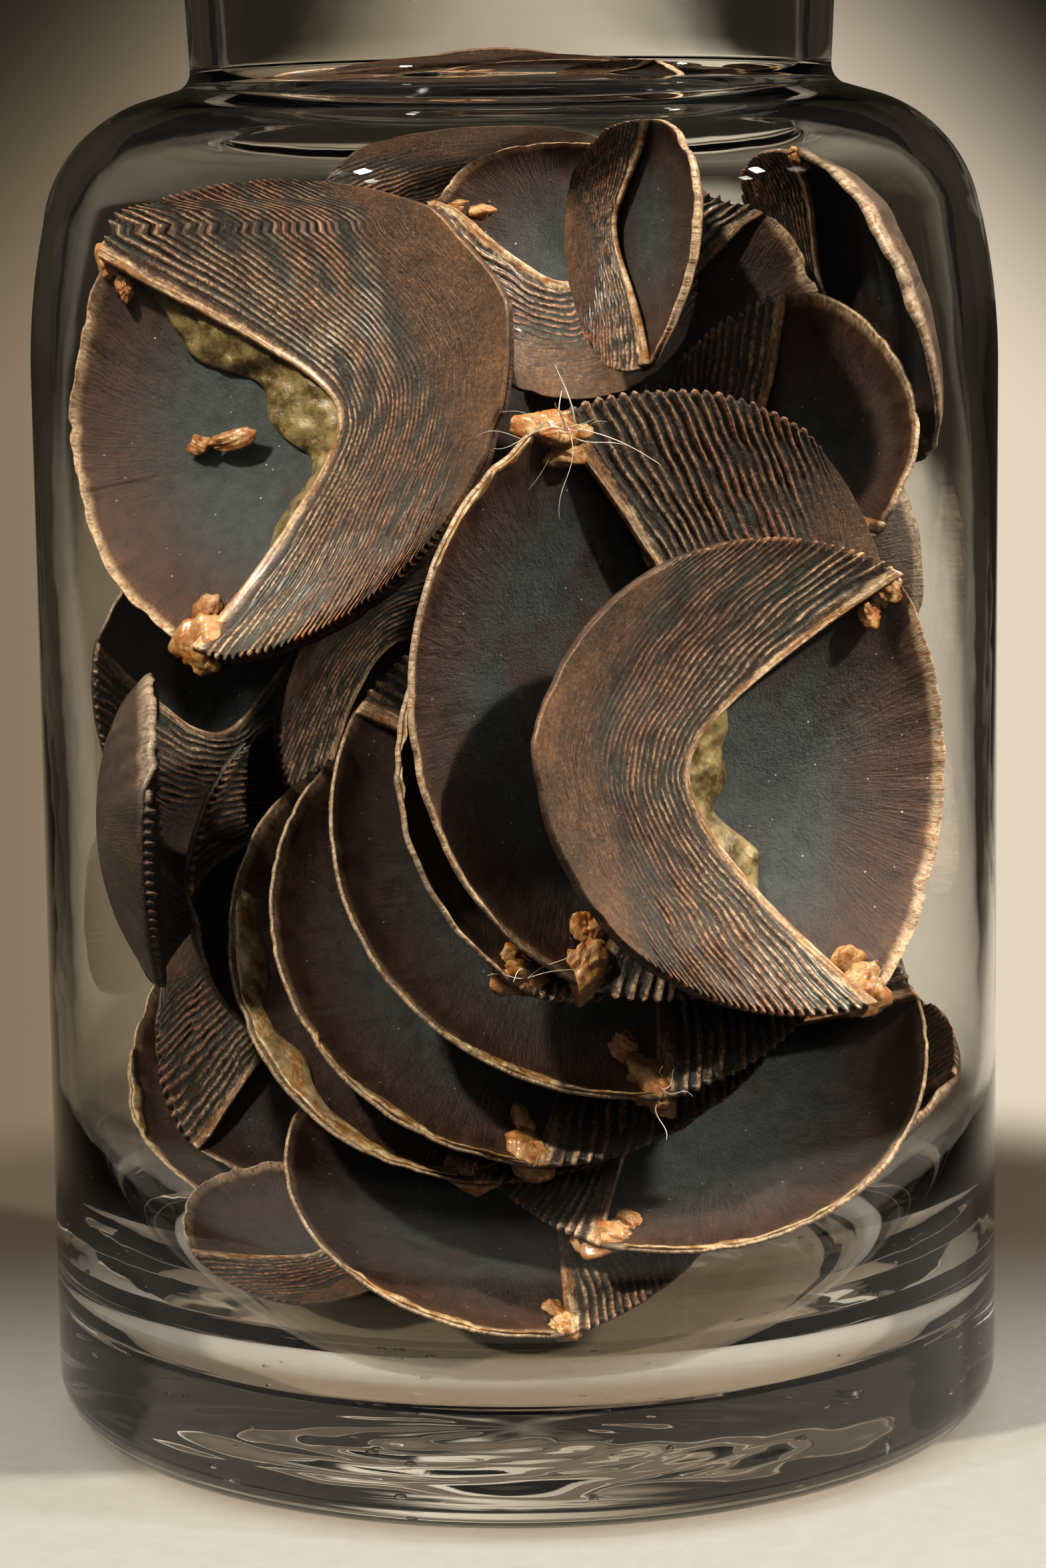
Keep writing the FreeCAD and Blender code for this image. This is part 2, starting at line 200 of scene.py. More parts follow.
# Half sections of the glass and the ring, as corners (out, up, rounding) from the CAD's drawings.
JAR = [
    (0, 2.0, 0), (50.5, 2.0, 2.0), (54.0, 0, 1.5), (70.0, 0, 8.0),
    (70.0, 164.65, 100.0), (64.47, 189.46, 21.0), (46.0, 194.8, 3.0), (47.4, 224.0, 0.8),
    (52.0, 225.6, 1.2), (52.0, 230.0, 1.6), (43.2, 230.0, 1.2),
    (42.0, 191.2, 2.0), (60.65, 185.86, 16.0), (67.0, 157.4, 160.0), (67.0, 35.9, 64.0),
    (54.9, 14.0, 11.0), (0, 13.2, 0),
]
LID = [
    (0, 216.0, 0), (39.5, 216.0, 0.6), (40.5, 217.2, 0.6), (40.5, 219.5, 0.3), (38.0, 219.5, 0.3),
    (38.0, 225.5, 0.3), (40.5, 225.5, 0.3), (40.5, 230.05, 0.8), (53.0, 230.05, 1.5), (53.0, 234.6, 2.4),
    (14.0, 237.8, 4.0), (8.5, 239.0, 0.8), (8.5, 243.5, 2.2), (16.5, 247.0, 5.0), (16.5, 259.0, 5.5),
    (10.0, 265.0, 4.0), (0, 265.0, 0),
]
RING = [
    (38.05, 219.6, 0.3), (41.0, 219.6, 0.3), (42.6, 221.0, 0.5), (41.2, 222.5, 0.8), (42.6, 224.0, 0.5),
    (41.0, 225.4, 0.3), (38.05, 225.4, 0.3),
]
INNER_WALL = 67.4
SEED_COUNT = 46


def glass_ripple(out, up, angle):
    """Hand-made glass: slow waves in the inner wall and rings in the moulded floor."""
    inner = smooth(-out, -INNER_WALL - 0.2, -INNER_WALL + 0.2) * smooth(up, 10, 13)
    wall = inner * smooth(up, 24, 40) * (1 - smooth(up, 186, 190))
    slow = 0.16 * np.sin(3 * angle + 0.03 * up) + 0.10 * np.sin(up / 9 + 2 * np.sin(angle))
    floor = inner * (1 - smooth(up, 15, 24)) * smooth(out, 22, 34) * (1 - smooth(out, 56, 60))
    rings = 0.20 * np.sin(out * 1.9 + 0.6 * np.sin(2 * angle)) + 0.08 * np.sin(out * 4.1 + 5 * angle)
    foot = smooth(-up, -2.6, -1.9) * (1 - smooth(out, 45, 49)) * smooth(out, 4, 14)
    hammered = 0.16 * np.sin(0.42 * out + 4 * np.sin(angle)) * np.sin(7 * angle + 0.25 * out)
    return wall * slow, floor * rings + foot * hammered


def glass_seeds(surface):
    """Small bubbles caught in the thick base, each drawn out along the way the glass was turned."""
    draw = np.random.default_rng(21)
    for _ in range(SEED_COUNT):
        angle = draw.uniform(0, 2 * math.pi)
        out, up = draw.uniform(40, 64), draw.uniform(4.5, 10.5)
        size = draw.uniform(0.22, 0.6)
        ball, quads, tris = unit_ball(10, 16)
        ball = ball * (size * draw.uniform(1, 2.2), size, size * 0.7)
        c, s = math.cos(angle + math.pi / 2), math.sin(angle + math.pi / 2)
        ball = ball @ np.array([[c, s, 0], [-s, c, 0], [0, 0, 1]])
        surface.add(ball + (out * math.cos(angle), out * math.sin(angle), up), quads, tris, inward=True)


def unit_ball(rows, columns):
    """A ball of radius 1 as rows of points between two poles."""
    polar = np.linspace(0, math.pi, rows + 2)[1:-1, None]
    angle = np.arange(columns)[None] * 2 * math.pi / columns
    x, y, z = np.sin(polar) * np.cos(angle), np.sin(polar) * np.sin(angle), np.cos(polar) + 0 * angle
    points = np.concatenate([np.stack([x, y, z], -1).reshape(-1, 3), [[0, 0, 1], [0, 0, -1]]])
    return points, grid_faces(rows, columns, wrap=True), pole_faces(rows, columns)


# ---- horn scales

# Shares of the chord that set the outline, as in the CAD, then the wall and the edge in millimetres.
DOME_PLACE, SIDE_SIZE, SIDE_PLACE, TIP_SIZE = 0.23, 0.72, 0.24, 0.62
WALL, EDGE = 1.3, 1.0
# Half the angle that the flap's far margin spans, seen from the dome's middle, in radians.
MARGIN_ANGLE = 0.72
# How the open part of the rim rolls over: how deep, and how far in from the rim.
ROLL_DEPTH, ROLL_WIDTH = 1.7, 6.5

# Each scale's sizes (chord, length, base, mouth and depth, in millimetres) and its spin, yaw and tilt
# (in degrees), as in the CAD. Where it lies is worked out from its node's box.


def usual(chord):
    """Sizes of a scale of the usual proportions."""
    return (chord, 0.85 * chord, 0.30 * chord, 0.38 * chord, 0.085 * chord)


SCALES = [
    ((64, 66, 13, 28.5, 5.4), (20, -20, 15)),
    ((60, 57, 11, 27.5, 5.1), (170, 25, 10)),
    ((78, 56, 25.5, 28, 5.5), (0, 30, 5)),
    ((52, 44, 15.5, 20, 3.1), (-5, 40, 20)),
    ((70, 54.5, 21, 26.5, 4.2), (30, 15, 30)),
    ((68, 54.5, 20.5, 26, 4.1), (20, 10, 35)),
    ((68, 54.5, 20.5, 26, 4.1), (20, 5, 35)),
    ((58, 49.5, 17.5, 22, 4.1), (30, 15, 50)),
    ((60, 51, 18, 23, 4.2), (140, -15, 45)),
    (usual(48), (160, -75, 55)),
    ((52, 44, 13, 20, 3.6), (-5, 10, 40)),
    ((56, 47.5, 12.5, 21.5, 3.9), (165, 5, 20)),
    ((50, 42.5, 18, 21, 6), (-175, -70, -25)),
    ((38, 36, 16, 13, 3.2), (-175, -55, 5)),
    (usual(36), (-80, 10, 10)),
    (usual(54), (90, 15, 0)),
    (usual(42), (170, 5, 10)),
    (usual(44), (-85, 35, 5)),
    (usual(40), (-85, 95, 0)),
    (usual(36), (-90, 45, -15)),
    (usual(32), (-50, 10, 60)),
    (usual(40), (-75, -10, 90)),
    (usual(58), (-160, -165, 5)),
    (usual(54), (25, 160, 0)),
    (usual(58), (120, -175, 15)),
    (usual(46), (-30, 155, -20)),
    (usual(48), (5, -165, 10)),
    (usual(42), (120, 160, 40)),
    (usual(42), (-150, -30, 20)),
    (usual(42), (60, 60, 0)),
    (usual(42), (30, -60, 10)),
    (usual(46), (0, -30, 55)),
    (usual(46), (100, 15, 35)),
    (usual(42), (0, -40, -15)),
    (usual(42), (135, -150, 30)),
    (usual(42), (-90, -15, 0)),
    (usual(40), (140, 15, -15)),
    (usual(46), (120, 40, -20)),
]


def mesh_detail(number):
    """How finely a scale is meshed: angles round the back wall, then rows and columns of the flap."""
    if number <= 3:
        return 232, 330, 92
    if number <= 14:
        return 232, 220, 92
    if number <= 22:
        return 180, 150, 84
    return 126, 96, 56


class Horn:
    """One scale: a domed back wall and a flatter ridged flap, joined along the rim between two corners.
    Own axes: X from the chord to the tip, Y along the chord, Z to the domed back."""

    def __init__(self, number, sizes, angles):
        chord, length, base, mouth, depth = sizes
        spin, yaw, tilt = angles
        self.number, self.half, self.length, self.mouth = number, chord / 2, length, mouth
        self.middle, self.back_radius, self.depth = DOME_PLACE * chord, chord, depth
        reach = max(length - self.middle, math.hypot(self.middle, self.half))
        drop = chord - math.sqrt(chord ** 2 - reach ** 2) + EDGE - depth
        self.flap_radius = (reach ** 2 + drop ** 2) / (2 * drop)
        base_radius = (self.half ** 2 + base ** 2) / (2 * base)
        side = SIDE_SIZE * chord
        side_y = math.sqrt(side ** 2 - (SIDE_PLACE * chord) ** 2) - self.half
        tip = TIP_SIZE * chord
        self.discs = [
            (base_radius - base, 0, base_radius), (length - tip, 0, tip),
            (SIDE_PLACE * chord, -side_y, side), (SIDE_PLACE * chord, side_y, side),
        ]
        self.corner_angle = math.atan2(self.half, -self.middle)
        heading = Matrix.Rotation(math.radians(-spin), 3, "Y")
        lean = Matrix.Rotation(math.radians(-tilt), 3, "X")
        about = Matrix.Rotation(math.radians(yaw), 3, "Z")
        self.turn = np.array(about @ lean @ heading @ Matrix.Rotation(math.radians(-90), 3, "X"))
        self.place = self.found_place()

    def found_place(self):
        """Where the middle of the chord lies: the CAD node's box against the box of the same plain
        shape, turned but not moved. The CAD lays the scales on whole millimetres."""
        angle, part = np.meshgrid(np.radians(np.arange(360)), np.linspace(0, 1, 41))
        out = part * self.plain_outline(np.cos(angle), np.sin(angle))
        x, y = self.middle + out * np.cos(angle), out * np.sin(angle)
        mouth_radius = (self.half ** 2 + self.mouth ** 2) / (2 * self.mouth)
        open_here = np.hypot(x - self.mouth + mouth_radius, y) < mouth_radius
        under = np.where(open_here, self.back(x, y) - WALL, self.flap(x, y))
        walls = [np.stack([x, y, z], axis=-1).reshape(-1, 3) for z in (self.back(x, y), under)]
        turned = np.concatenate(walls) @ self.turn.T
        low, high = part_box("scale_%02d" % self.number)
        node_middle = np.array(low + high) / 2 / MM
        return np.round(node_middle - (turned.min(axis=0) + turned.max(axis=0)) / 2)

    def plain_outline(self, c, s):
        """Distance from the dome's middle to the rim of the plain shape."""
        reach = []
        for x, y, radius in self.discs:
            along = (self.middle - x) * c - y * s
            reach.append(-along + np.sqrt(along ** 2 - (self.middle - x) ** 2 - y ** 2 + radius ** 2))
        return np.min(reach, axis=0)

    def outline(self, angle):
        """The same, with the slow waves and nicks of a dried rim."""
        c, s = np.cos(angle), np.sin(angle)
        slow = 0.12 * (waves(self.number, 6, 3.0, c, s) - 2)
        nibbled = 0.30 * np.clip(waves(self.number + 300, 8, 22.0, c, s) - 0.35, 0, 2)
        nicks = 0.9 * np.clip(waves(self.number + 400, 6, 14.0, c, s) - 1.25, 0, 1)
        return self.plain_outline(c, s) + slow - nibbled - nicks

    def back(self, x, y):
        return np.sqrt(self.back_radius ** 2 - (x - self.middle) ** 2 - y ** 2) - self.back_radius

    def flap(self, x, y):
        height = np.sqrt(self.flap_radius ** 2 - (x - self.middle) ** 2 - y ** 2)
        return height - self.flap_radius - self.depth

    def warp(self, x, y):
        """Uneven drying: both walls bend together."""
        return 0.35 * waves(self.number + 40, 5, 0.07, x, y)

    def roll(self, away):
        """How far the rolled rim drops at a distance in from it."""
        return ROLL_DEPTH * np.clip(1 - away / ROLL_WIDTH, 0, 1) ** 2

    def world(self, points):
        return points @ self.turn.T + self.place

    def at_rim(self, angle):
        out = self.outline(angle)
        return self.middle + out * np.cos(angle), out * np.sin(angle)


def back_wall(horn, detail):
    """Closed shell of the domed back wall, with a rolled lip along the open base."""
    angle = np.linspace(-math.pi, math.pi, detail + 1)[:-1]
    rim = horn.outline(angle)
    open_side = smooth(np.abs(angle), horn.corner_angle - 0.05, horn.corner_angle + 0.22)
    x, y = horn.at_rim(angle)
    gap = horn.back(x, y) - horn.flap(x, y)
    edge = open_side * 0.95 + (1 - open_side) * (gap / 2 + 0.15)
    rows = detail // 7
    share = np.concatenate([np.linspace(0.04, 0.86, rows), np.linspace(0.88, 1, rows // 2)])
    sheets = []
    for inside in (0, 1):
        out = share[:, None] * rim
        away = rim - out
        px, py = horn.middle + out * np.cos(angle), out * np.sin(angle)
        roll = horn.roll(away) * open_side
        crease = 0.16 * waves(horn.number + 80, 7, 26.0, np.cos(angle), np.sin(angle))
        crease = crease * np.exp(-away / 3.5) * open_side
        thick = WALL + (edge - WALL) * np.exp(-away / 2.5)
        bead = 0.30 * np.exp(-(away / 0.9) ** 2) * open_side * inside
        height = horn.back(px, py) + horn.warp(px, py) - roll - crease - inside * (thick + bead)
        sheets.append([px, py, height, away])
    mid = [(a[-1] + b[-1]) / 2 for a, b in zip(sheets[0], sheets[1])]
    bulge = 0.30 * edge / np.maximum(rim, 1)
    mid[0] = mid[0] + (mid[0] - horn.middle) * bulge
    mid[1] = mid[1] + mid[1] * bulge
    stack = [np.concatenate([a, m[None], b[::-1]]) for a, m, b in zip(sheets[0], mid, sheets[1])]
    px, py, height, away = [part.ravel() for part in stack]
    inside = np.concatenate([np.zeros(sheets[0][0].size), np.full(detail, 0.5), np.ones(sheets[0][0].size)])
    points = np.stack([px, py, height], -1)
    top = horn.back(horn.middle, 0) + horn.warp(horn.middle, 0)
    points = np.concatenate([points, [[horn.middle, 0, top], [horn.middle, 0, top - WALL]]])
    total = len(stack[0])
    ray = np.broadcast_to(angle, stack[0].shape).ravel()
    lip = np.broadcast_to(open_side, stack[0].shape).ravel()
    # every field ends with its values at the two poles
    fields = dict(
        rim=np.append(away, [40, 40]), inside=np.append(inside, [0, 1]), ray=np.append(ray, [0, 0]),
        lip=np.append(lip, [0, 0]), own_x=points[:, 0], own_y=points[:, 1])
    return points, grid_faces(total, detail, wrap=True), pole_faces(total, detail), fields


def flap_lines(horn, grow, across):
    """Points of the flap's growth lines. Grow is 0 at the mouth edge and 1 at the far margin, and
    across runs from -1 to 1."""
    margin_x, margin_y = horn.at_rim(MARGIN_ANGLE * across)
    end_x, end_y = horn.at_rim(np.array(MARGIN_ANGLE))
    tip_x = horn.at_rim(np.array(0.0))[0]
    side_angle = horn.corner_angle + (MARGIN_ANGLE - horn.corner_angle) * grow ** 0.9
    side_x, side_y = horn.at_rim(side_angle)
    soft = 0.26
    mouth_shape = (np.sqrt(across ** 2 + soft ** 2) - soft) / (math.sqrt(1 + soft ** 2) - soft)
    margin_shape = (tip_x - margin_x) / (tip_x - end_x)
    blend = grow ** 1.6
    shape = mouth_shape * (1 - blend) + margin_shape * blend
    width = across * (1 - blend) + margin_y / end_y * blend
    apex = horn.mouth + (tip_x - horn.mouth) * grow
    return apex - (apex - side_x) * shape, side_y * width


RIDGES_PER_MM, RIDGE_HEIGHT = 1.0, 0.32


def border(rows, columns):
    """Row and column numbers of a grid's outermost points, once round."""
    down, left = np.arange(rows - 2, 0, -1), np.arange(columns - 2, -1, -1)
    i = np.r_[np.zeros(columns, int), np.arange(1, rows), np.full(columns - 1, rows - 1), down]
    j = np.r_[np.arange(columns), np.full(rows - 1, columns - 1), left, np.zeros(rows - 2, int)]
    return i, j


def flap_wall(horn, rows, columns):
    """Closed shell of the ridged flap."""
    grow = np.linspace(0, 1, rows)[:, None] ** 1.08 + np.zeros((1, columns))
    across = np.sin(np.linspace(-1, 1, columns) * 1.25)[None] / math.sin(1.25) + np.zeros((rows, 1))
    x, y = flap_lines(horn, grow, across)
    flap_length = horn.length - horn.mouth
    seed = horn.number * 7
    drift = 0.7 * waves(seed, 6, 2.6, across, grow) + 0.20 * waves(seed + 1, 6, 15.0, across, grow * 0.5)
    phase = flap_length * RIDGES_PER_MM * grow + drift * smooth(grow, 0, 0.06)
    sharp = (0.5 - 0.5 * np.cos(2 * math.pi * phase)) ** 1.4
    reach = 0.42 + 0.34 * np.abs(across) ** 1.5 + 0.10 * waves(seed + 2, 4, 3.0, across)
    strong = (1 - smooth(grow, reach - 0.12, reach + 0.28)) * smooth(grow, 0.015, 0.07)
    patchy = np.clip(0.8 + 0.40 * waves(seed + 3, 8, 18.0, across * 1.4, grow * 3), 0.10, 1.4)
    crest = sharp * strong * patchy
    rough = 0.05 * waves(seed + 4, 10, 60.0, across, grow * 1.5)
    lift = RIDGE_HEIGHT * crest * (0.75 + 0.7 * np.abs(across) ** 2) + rough * (0.3 + strong)
    away = grow * flap_length
    lift = lift + 0.28 * np.exp(-(away / 0.7) ** 2)
    side = smooth(np.abs(across), 0.9, 1.0) * strong
    x = x - 0.25 * side * sharp
    y = y + np.sign(across) * side * (sharp - 0.5) * 0.75
    edge = np.maximum(smooth(np.abs(across), 0.8, 1), smooth(grow, 0.85, 1))
    gap = np.maximum(horn.back(x, y) - horn.flap(x, y), 0.4)
    thick = 0.75 + 0.5 * smooth(grow, 0, 0.2)
    thick = thick * (1 - edge) + (gap / 2 + 0.15) * edge
    base = horn.flap(x, y) + horn.warp(x, y)
    outer = np.stack([x, y, base - lift], -1)
    inner = np.stack([x, y, base + thick], -1)
    i, j = border(rows, columns)
    near = outer[i, j] - outer[np.clip(i, 1, rows - 2), np.clip(j, 1, columns - 2)]
    near[:, 2] = 0
    near = near / np.maximum(np.linalg.norm(near, axis=1, keepdims=True), 1e-6)
    ring = (outer[i, j] + inner[i, j]) / 2 + near * 0.32
    size = rows * columns
    points = np.concatenate([outer.reshape(-1, 3), inner.reshape(-1, 3), ring])
    face = grid_faces(rows, columns)
    k = np.arange(len(i))
    n = (k + 1) % len(i)
    flat = i * columns + j
    quads = np.concatenate([
        face, face[:, ::-1] + size,
        np.stack([flat[n], flat[k], 2 * size + k, 2 * size + n], -1),
        np.stack([2 * size + n, 2 * size + k, size + flat[k], size + flat[n]], -1)])
    # every field holds its values on the outer sheet, the inner sheet and the edge between them
    fields = {"own_x": points[:, 0], "own_y": points[:, 1]}
    fields["flap"] = np.concatenate([np.ones(size), np.zeros(size), np.ones(len(i))])
    sheets = dict(grow=grow, across=across, crest=crest, away=away, strong=strong)
    for name, values in sheets.items():
        fields[name] = np.concatenate([values.ravel(), values.ravel(), values[i, j]])
    return points, quads, fields


def clump(surface, centre, size, turn, seed, detail=34):
    """A lump of dried tissue: a folded, uneven ball."""
    ball, quads, tris = unit_ball(detail, detail + 14)
    x, y, z = ball.T
    bump = 1 + 0.26 * waves(seed, 6, 1.9, x, y, z) + 0.10 * waves(seed + 1, 8, 6.0, x, y, z)
    bump = bump + 0.04 * waves(seed + 2, 8, 15.0, x, y, z)
    surface.add((ball * bump[:, None] * size) @ turn.T + centre, quads, tris, thick=bump)


def strip(surface, left, right, thick, seed, normal):
    """A closed thin sheet between two edge curves, crumpled a little along its normal."""
    across = np.linspace(0, 1, 15)[None, :, None]
    sheet = left[:, None] * (1 - across) + right[:, None] * across
    rows, columns = sheet.shape[:2]
    x, y, z = sheet.reshape(-1, 3).T
    crumple = 0.28 * waves(seed, 8, 0.9, x, y, z) + 0.10 * waves(seed + 1, 8, 3.0, x, y, z)
    crumple = crumple.reshape(rows, columns)
    swell = thick * np.sqrt(np.clip(1 - (2 * across[..., 0] - 1) ** 2, 0, 1)) / 2 + 0.06
    ends = np.sqrt(np.clip(1 - np.linspace(-1, 1, rows) ** 6, 0, 1))[:, None]
    half = swell * ends + 0.01
    top = sheet + (crumple + half)[..., None] * normal
    bottom = sheet + (crumple - half)[..., None] * normal
    tube = np.concatenate([top, bottom[:, ::-1]], 1)
    points = tube.reshape(-1, 3)
    around = 2 * columns
    caps = np.array([top[0].mean(0), top[-1].mean(0)])
    points = np.concatenate([points, caps])
    surface.add(points, grid_faces(rows, around, wrap=True), pole_faces(rows, around))


def rim_ribbon(surface, horn, start, end, width):
    """A thick uneven ribbon lying on the lining just inside the curled rim."""
    t = np.linspace(0, 1, 130)
    # the open rim runs from the -Y corner round behind the dome's middle to the +Y corner
    angle = -horn.corner_angle - (start + (end - start) * t) * 2 * (math.pi - horn.corner_angle)
    full = width * (0.35 + 0.65 * np.sin(math.pi * t ** 0.7) ** 2)
    full = full * (1 + 0.35 * waves(horn.number + 500, 5, 16.0, t))
    curves = []
    for inset in (0.15, 1.0):
        away = np.clip(full * inset, 0.15, None)
        out = horn.outline(angle) - away
        x, y = horn.middle + out * np.cos(angle), out * np.sin(angle)
        z = horn.back(x, y) + horn.warp(x, y) - horn.roll(away) - 1.25
        curves.append(horn.world(np.stack([x, y, z], -1)))
    strip(surface, curves[0], curves[1], 1.3, horn.number * 13, -horn.turn[:, 2])


def mouth_membrane(surface, horn, start, end, peak, width, dip):
    """A crumpled thin skin hanging from the flap's mouth edge towards the open base."""
    across = np.linspace(start, end, 110)
    t = np.linspace(0, 1, 110)
    x, y = flap_lines(horn, np.full(110, 0.012), across)
    z = horn.flap(x, y) + horn.warp(x, y) + 0.7
    # the power puts the widest place at the share peak of the way across
    hang = width * np.sin(math.pi * t ** (math.log(0.5) / math.log(peak))) ** 0.7
    hang = hang * (0.75 + 0.25 * waves(horn.number + 600, 6, 14.0, t))
    inner_x, inner_y = x - hang, y + 0.15 * hang * waves(horn.number + 610, 4, 9.0, t)
    inner_z = np.minimum(z + dip, horn.back(inner_x, inner_y) + horn.warp(inner_x, inner_y) - 1.9)
    near, far = np.stack([x + 0.4, y, z], -1), np.stack([inner_x, inner_y, inner_z], -1)
    strip(surface, horn.world(near), horn.world(far), 0.30, horn.number * 17, horn.turn[:, 2])


def strand(surface, start, heading, length, bend, radius, seed):
    """A thin fibre that wanders as it runs."""
    steps, sides = 22, 5
    t = np.linspace(0, 1, steps)[:, None]
    draw = np.random.default_rng(seed)
    heading = np.array(heading, float) / np.linalg.norm(heading)
    side = np.cross(heading, draw.normal(0, 1, 3))
    side = side / np.linalg.norm(side)
    other = np.cross(heading, side)
    path = start + heading * t * length + side * bend * length * t ** 2
    path = path + other * bend * length * 0.4 * np.sin(t * draw.uniform(3, 7))
    angle = np.arange(sides) * 2 * math.pi / sides
    thin = radius * (1 - 0.6 * t)
    ring = side * np.cos(angle)[:, None] + other * np.sin(angle)[:, None]
    points = (path[:, None] + thin[:, None] * ring[None]).reshape(-1, 3)
    points = np.concatenate([points, path[:1], path[-1:]])
    surface.add(points, grid_faces(steps, sides, wrap=True), pole_faces(steps, sides))


# ---- materials

class Nodes:
    """A material's node tree, written as calls that return output sockets."""

    def __init__(self, name):
        self.material = bpy.data.materials.new(name)
        self.material.use_nodes = True
        self.tree = self.material.node_tree
        self.tree.nodes.clear()

    def node(self, kind, inputs=None, output=0, **settings):
        made = self.tree.nodes.new("ShaderNode" + kind)
        for key, value in settings.items():
            setattr(made, key, value)
        for key, value in (inputs or {}).items():
            if isinstance(value, bpy.types.NodeSocket):
                self.tree.links.new(value, made.inputs[key])
            else:
                made.inputs[key].default_value = value
        return made.outputs[output]

    def math(self, operation, a, b=0.0, clamp=False):
        return self.node("Math", {0: a, 1: b}, operation=operation, use_clamp=clamp)

    def field(self, name):
        return self.node("Attribute", output="Fac", attribute_name=name)

    def place(self, x, y=0.0, z=0.0):
        return self.node("CombineXYZ", {0: x, 1: y, 2: z})

    def noise(self, vector, scale, detail=3.0, roughness=0.55):
        inputs = {"Vector": vector, "Scale": scale, "Detail": detail, "Roughness": roughness}
        return self.node("TexNoise", inputs)

    def step(self, value, low, high):
        """0 below low, 1 above high, and a soft step between them."""
        inputs = {0: value, 1: low, 2: high, 3: 0.0, 4: 1.0}
        return self.node("MapRange", inputs, interpolation_type="SMOOTHSTEP")

    def span(self, value, low, high):
        """From low to high as the value, a noise, goes from 0.3 to 0.7."""
        return self.node("MapRange", {0: value, 1: 0.3, 2: 0.7, 3: low, 4: high})

    def times(self, a, b):
        return self.math("MULTIPLY", a, b)

    def rest(self, share):
        """What is left of a share."""
        return self.math("SUBTRACT", 1.0, share)

    def mix(self, share, a, b, blend="MIX"):
        return self.node("Mix", {0: share, 6: a, 7: b}, output=2, data_type="RGBA", blend_type=blend)

    def bump(self, height, strength, distance, normal=None):
        inputs = {"Height": height, "Strength": strength, "Distance": distance}
        if normal is not None:
            inputs["Normal"] = normal
        return self.node("Bump", inputs)

    def finish(self, shader):
        out = self.tree.nodes.new("ShaderNodeOutputMaterial")
        self.tree.links.new(shader, out.inputs["Surface"])
        return self.material


def rgb(r, g, b):
    return (r, g, b, 1.0)


class HornFields:
    """The named fields and noises that the colours of the horn are mixed from."""

    def __init__(self, n):
        self.grow, self.across, self.away = n.field("grow"), n.field("across"), n.field("away")
        self.crest, self.strong, self.flap = n.field("crest"), n.field("strong"), n.field("flap")
        self.rim, self.lip, self.ray = n.field("rim"), n.field("lip"), n.field("ray")
        self.inside, self.tone = n.field("inside"), n.field("tone")
        own = n.place(n.field("own_x"), n.field("own_y"), n.times(self.tone, 37.0))
        self.own = own
        self.cloud = n.noise(own, 0.09, 4.0, 0.6)
        self.mottle = n.noise(own, 0.38, 7.0, 0.72)
        self.grain = n.noise(own, 1.6, 6.0, 0.7)
        self.speck = n.noise(own, 2.6, 3.0, 0.6)
        along = n.place(n.times(self.across, 13.0), n.times(self.grow, 120.0), self.tone)
        self.streak = n.noise(along, 1.0, 4.0, 0.65)
        patches = n.place(n.times(self.across, 26.0), n.times(self.grow, 34.0), self.tone)
        self.broken = n.noise(patches, 1.0, 4.0, 0.7)
        spokes = n.place(n.times(self.ray, 52.0), n.times(self.rim, 0.22), self.tone)
        self.rays = n.noise(spokes, 1.0, 3.0, 0.6)


def flap_colour(n, f):
    """Ridges with dark grooves and pale broken crowns, fading into a smooth margin. The contrast is partly
    the horn's own banding, partly painted shade in the grooves and painted highlight on the crowns.
    """
    # colour of the grooves: partly painted shade down in the grooves
    shaded_groove = n.mix(n.step(f.cloud, 0.38, 0.62), rgb(0.034, 0.022, 0.016), rgb(0.042, 0.046, 0.038))
    pale = n.mix(n.step(f.grow, 0.05, 0.42), rgb(0.56, 0.44, 0.30), rgb(0.44, 0.24, 0.145))
    crown = n.mix(n.step(f.grain, 0.36, 0.60), rgb(0.25, 0.105, 0.055), pale)
    crown = n.mix(n.times(n.step(f.streak, 0.42, 0.60), 0.45), crown, rgb(0.085, 0.060, 0.046))
    # painted highlight: the ridge crowns take the pale colour and the grooves the dark, on top of the horn's
    # own banding
    lit = n.times(n.step(f.crest, 0.18, 0.75), n.step(f.broken, 0.28, 0.50))
    ridged = n.mix(lit, shaded_groove, crown)
    # fine growth lines farther out, fading into the smooth margin
    plain = n.mix(n.step(f.streak, 0.40, 0.66), rgb(0.060, 0.036, 0.024), rgb(0.19, 0.118, 0.075))
    margin = n.mix(n.step(f.cloud, 0.3, 0.7), rgb(0.072, 0.050, 0.032), rgb(0.190, 0.108, 0.058))
    plain = n.mix(n.step(f.grow, 0.72, 0.97), plain, margin)
    colour = n.mix(n.step(f.strong, 0.0, 0.6), plain, ridged)
    dots = n.times(n.step(f.speck, 0.60, 0.70), 0.55)
    colour = n.mix(dots, colour, rgb(0.40, 0.31, 0.24))
    # layered mouth edge
    layers = n.noise(n.place(n.times(f.across, 7.0), n.times(f.away, 3.2), f.tone), 1.0, 3.0)
    cut = n.mix(n.step(layers, 0.38, 0.62), rgb(0.30, 0.155, 0.060), rgb(0.66, 0.53, 0.38))
    frayed = n.math("ADD", f.away, n.times(n.math("SUBTRACT", f.broken, 0.5), 1.8))
    colour = n.mix(n.rest(n.step(frayed, 0.45, 1.15)), colour, cut)
    salt = n.mix(n.step(f.grain, 0.36, 0.64), rgb(0.66, 0.66, 0.68), rgb(1.34, 1.30, 1.26))
    colour = n.mix(1.0, colour, salt, "MULTIPLY")
    uneven = n.mix(n.step(f.mottle, 0.36, 0.64), rgb(0.78, 0.76, 0.76), rgb(1.16, 1.14, 1.12))
    return n.mix(1.0, colour, uneven, "MULTIPLY")


